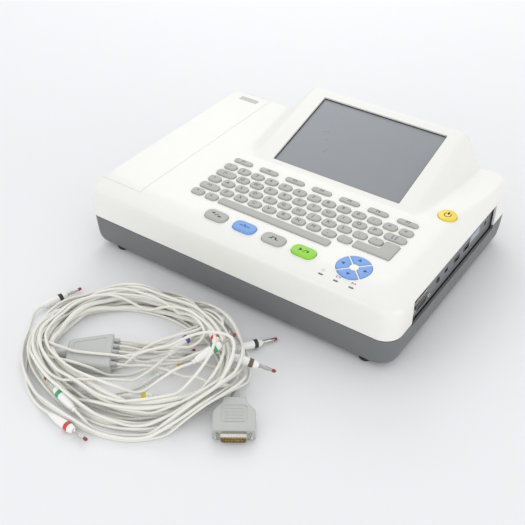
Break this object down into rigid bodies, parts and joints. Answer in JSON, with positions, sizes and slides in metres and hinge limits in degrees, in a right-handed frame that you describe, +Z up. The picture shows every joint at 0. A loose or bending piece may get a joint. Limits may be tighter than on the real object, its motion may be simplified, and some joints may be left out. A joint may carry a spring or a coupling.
{
  "type": "ecg machine",
  "caption": "Desktop electrocardiograph: tilted display, full keyboard, built-in paper recorder with hinged lid, side connectors, and a coiled patient cable with electrode leads.",
  "frame": {"origin": "on the table, under the middle of the console's outline", "axes": "+X to the operator's right, +Y to the back, +Z up"},
  "size_m": [0.394, 0.5286, 0.1234],
  "materials": {
    "shell_white": "satin moulded",
    "base_grey": "fine texture moulded",
    "panel_grey": "fine texture moulded",
    "key_grey": "matt silicone",
    "key_blue": "matt silicone",
    "key_green": "matt silicone",
    "key_yellow": "smooth",
    "screen": "anti-glare film",
    "rubber_black": "matt",
    "black_plastic": "moulded",
    "circuit_board": "solder mask",
    "plated_steel": "plated",
    "gear_plastic": "moulded",
    "chart_paper": "thermal paper",
    "battery_wrap": "shrink film",
    "cable_grey": "soft jacket",
    "plug_white": "smooth moulded"
  },
  "bodies": {
    "console": {"upper_case": "shell_white", "lower_case": "base_grey", "paper_motor": "plated_steel", "key_circuit_board": "circuit_board", "screen_glass": "screen", "lcd_panel": "plated_steel", "main_board": "circuit_board", "power_supply_board": "circuit_board", "ecg_front_end": "plated_steel", "battery_pack": "battery_wrap", "battery_hatch": "base_grey", "connector_panel": "panel_grey", "ecg_socket": "plated_steel", "usb_socket_front": "plated_steel", "usb_socket_rear": "plated_steel", "mains_inlet": "black_plastic", "earth_post": "plated_steel", "foot_front_left": "rubber_black", "foot_front_right": "rubber_black", "foot_rear_left": "rubber_black", "foot_rear_right": "rubber_black"},
    "lid": {"recorder_lid": "shell_white", "print_head": "plated_steel"},
    "platen": {"platen_roller": "rubber_black", "platen_gear": "gear_plastic"},
    "pinion": {"motor_pinion": "plated_steel"},
    "roll": {"paper_roll": "chart_paper", "roll_spindle": "gear_plastic"},
    "key_row_1": {"key_row_1": "key_grey"},
    "key_row_2": {"key_row_2": "key_grey"},
    "key_row_3": {"key_row_3": "key_grey"},
    "key_row_4": {"key_row_4": "key_grey"},
    "key_row_5": {"key_row_5": "key_grey"},
    "function_keys": {"function_keys": "key_grey"},
    "space_key": {"space_key": "key_grey"},
    "enter_key": {"enter_key": "key_grey"},
    "action_key_1": {"action_key_1": "key_grey"},
    "action_key_2": {"action_key_2": "key_blue"},
    "action_key_3": {"action_key_3": "key_grey"},
    "action_key_4": {"action_key_4": "key_green"},
    "arrow_right": {"arrow_right": "key_blue"},
    "arrow_up": {"arrow_up": "key_blue"},
    "arrow_left": {"arrow_left": "key_blue"},
    "arrow_down": {"arrow_down": "key_blue"},
    "power_key": {"power_key": "key_yellow"},
    "patient_cable": {"cable_coil": "cable_grey", "cable_hood": "cable_grey", "cable_plug_shell": "plated_steel", "cable_yoke": "cable_grey", "lead_plug_r": "plug_white", "lead_plug_l": "plug_white", "lead_plug_f": "plug_white", "lead_plug_n": "plug_white", "lead_plug_c1": "plug_white", "lead_plug_c2": "plug_white", "lead_plug_c3": "plug_white", "lead_plug_c4": "plug_white", "lead_plug_c5": "plug_white", "lead_plug_c6": "plug_white"}
  },
  "joints": [
    {"name": "lid_hinge", "type": "hinge", "parent": "console", "child": "lid", "pos_m": [-0.139, 0.005, 0.085], "axis": [0, 1, 0], "range_deg": [0, 95]},
    {"name": "platen_spin", "type": "hinge", "parent": "console", "child": "platen", "pos_m": [-0.183, 0, 0.07], "axis": [0, 1, 0], "continuous": true},
    {"name": "pinion_spin", "type": "hinge", "parent": "console", "child": "pinion", "pos_m": [-0.183, 0.1145, 0.0555], "axis": [0, 1, 0], "continuous": true},
    {"name": "roll_spin", "type": "hinge", "parent": "console", "child": "roll", "pos_m": [-0.163, 0, 0.045], "axis": [0, 1, 0], "continuous": true},
    {"name": "row_1_press", "type": "slide", "parent": "console", "child": "key_row_1", "axis": [0, 0, -1], "range_m": [0, 0.0012], "stiffness_N_per_m": 6500},
    {"name": "row_2_press", "type": "slide", "parent": "console", "child": "key_row_2", "axis": [0, 0, -1], "range_m": [0, 0.0012], "stiffness_N_per_m": 6000},
    {"name": "row_3_press", "type": "slide", "parent": "console", "child": "key_row_3", "axis": [0, 0, -1], "range_m": [0, 0.0012], "stiffness_N_per_m": 6000},
    {"name": "row_4_press", "type": "slide", "parent": "console", "child": "key_row_4", "axis": [0, 0, -1], "range_m": [0, 0.0012], "stiffness_N_per_m": 5000},
    {"name": "row_5_press", "type": "slide", "parent": "console", "child": "key_row_5", "axis": [0, 0, -1], "range_m": [0, 0.0012], "stiffness_N_per_m": 1200},
    {"name": "function_keys_press", "type": "slide", "parent": "console", "child": "function_keys", "axis": [0, 0, -1], "range_m": [0, 0.0012], "stiffness_N_per_m": 3500},
    {"name": "space_press", "type": "slide", "parent": "console", "child": "space_key", "axis": [0, 0, -1], "range_m": [0, 0.0012], "stiffness_N_per_m": 1500},
    {"name": "enter_press", "type": "slide", "parent": "console", "child": "enter_key", "axis": [0, 0, -1], "range_m": [0, 0.0012], "stiffness_N_per_m": 1000},
    {"name": "action_1_press", "type": "slide", "parent": "console", "child": "action_key_1", "axis": [0, 0, -1], "range_m": [0, 0.0012], "stiffness_N_per_m": 800},
    {"name": "action_2_press", "type": "slide", "parent": "console", "child": "action_key_2", "axis": [0, 0, -1], "range_m": [0, 0.0012], "stiffness_N_per_m": 800},
    {"name": "action_3_press", "type": "slide", "parent": "console", "child": "action_key_3", "axis": [0, 0, -1], "range_m": [0, 0.0012], "stiffness_N_per_m": 800},
    {"name": "action_4_press", "type": "slide", "parent": "console", "child": "action_key_4", "axis": [0, 0, -1], "range_m": [0, 0.0012], "stiffness_N_per_m": 800},
    {"name": "arrow_right_press", "type": "slide", "parent": "console", "child": "arrow_right", "axis": [0, 0, -1], "range_m": [0, 0.001], "stiffness_N_per_m": 600},
    {"name": "arrow_up_press", "type": "slide", "parent": "console", "child": "arrow_up", "axis": [0, 0, -1], "range_m": [0, 0.001], "stiffness_N_per_m": 600},
    {"name": "arrow_left_press", "type": "slide", "parent": "console", "child": "arrow_left", "axis": [0, 0, -1], "range_m": [0, 0.001], "stiffness_N_per_m": 600},
    {"name": "arrow_down_press", "type": "slide", "parent": "console", "child": "arrow_down", "axis": [0, 0, -1], "range_m": [0, 0.001], "stiffness_N_per_m": 600},
    {"name": "power_press", "type": "slide", "parent": "console", "child": "power_key", "axis": [0, 0, -1], "range_m": [0, 0.001], "stiffness_N_per_m": 700},
    {"name": "cable_lift", "type": "slide", "parent": "console", "child": "patient_cable", "axis": [0, 0, 1], "range_m": [0, 0.12]}
  ],
  "couplings": [
    {"joint": "pinion_spin", "follows": "platen_spin", "ratio": -2}
  ]
}
